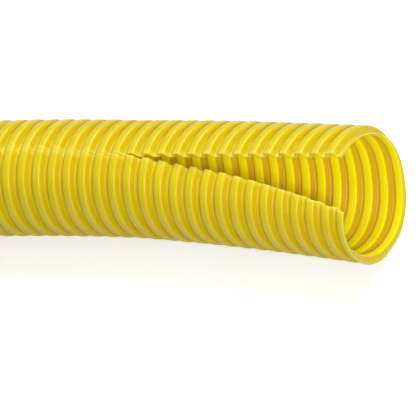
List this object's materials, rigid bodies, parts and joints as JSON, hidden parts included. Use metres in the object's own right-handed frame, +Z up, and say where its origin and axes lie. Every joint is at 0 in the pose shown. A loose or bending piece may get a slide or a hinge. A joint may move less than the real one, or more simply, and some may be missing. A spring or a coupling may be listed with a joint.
{
  "type": "slit corrugated conduit",
  "caption": "Cut length of yellow slit corrugated conduit, nominal 1 inch (32 mm outside, 27 mm bore), lying in a gentle bow with its slit gaping at one end.",
  "frame": {"origin": "middle of the bounding box in plan, on the floor that the conduit lies on", "axes": "+X from the closed end to the gaping end, along the chord of the bow; +Y towards the outside of the bow; +Z up"},
  "size_m": [0.3044, 0.0541, 0.0364],
  "materials": {
    "yellow_plastic": "semi-gloss, moulded, unpainted"
  },
  "bodies": {
    "root": {"conduit": "yellow_plastic"}
  },
  "joints": []
}
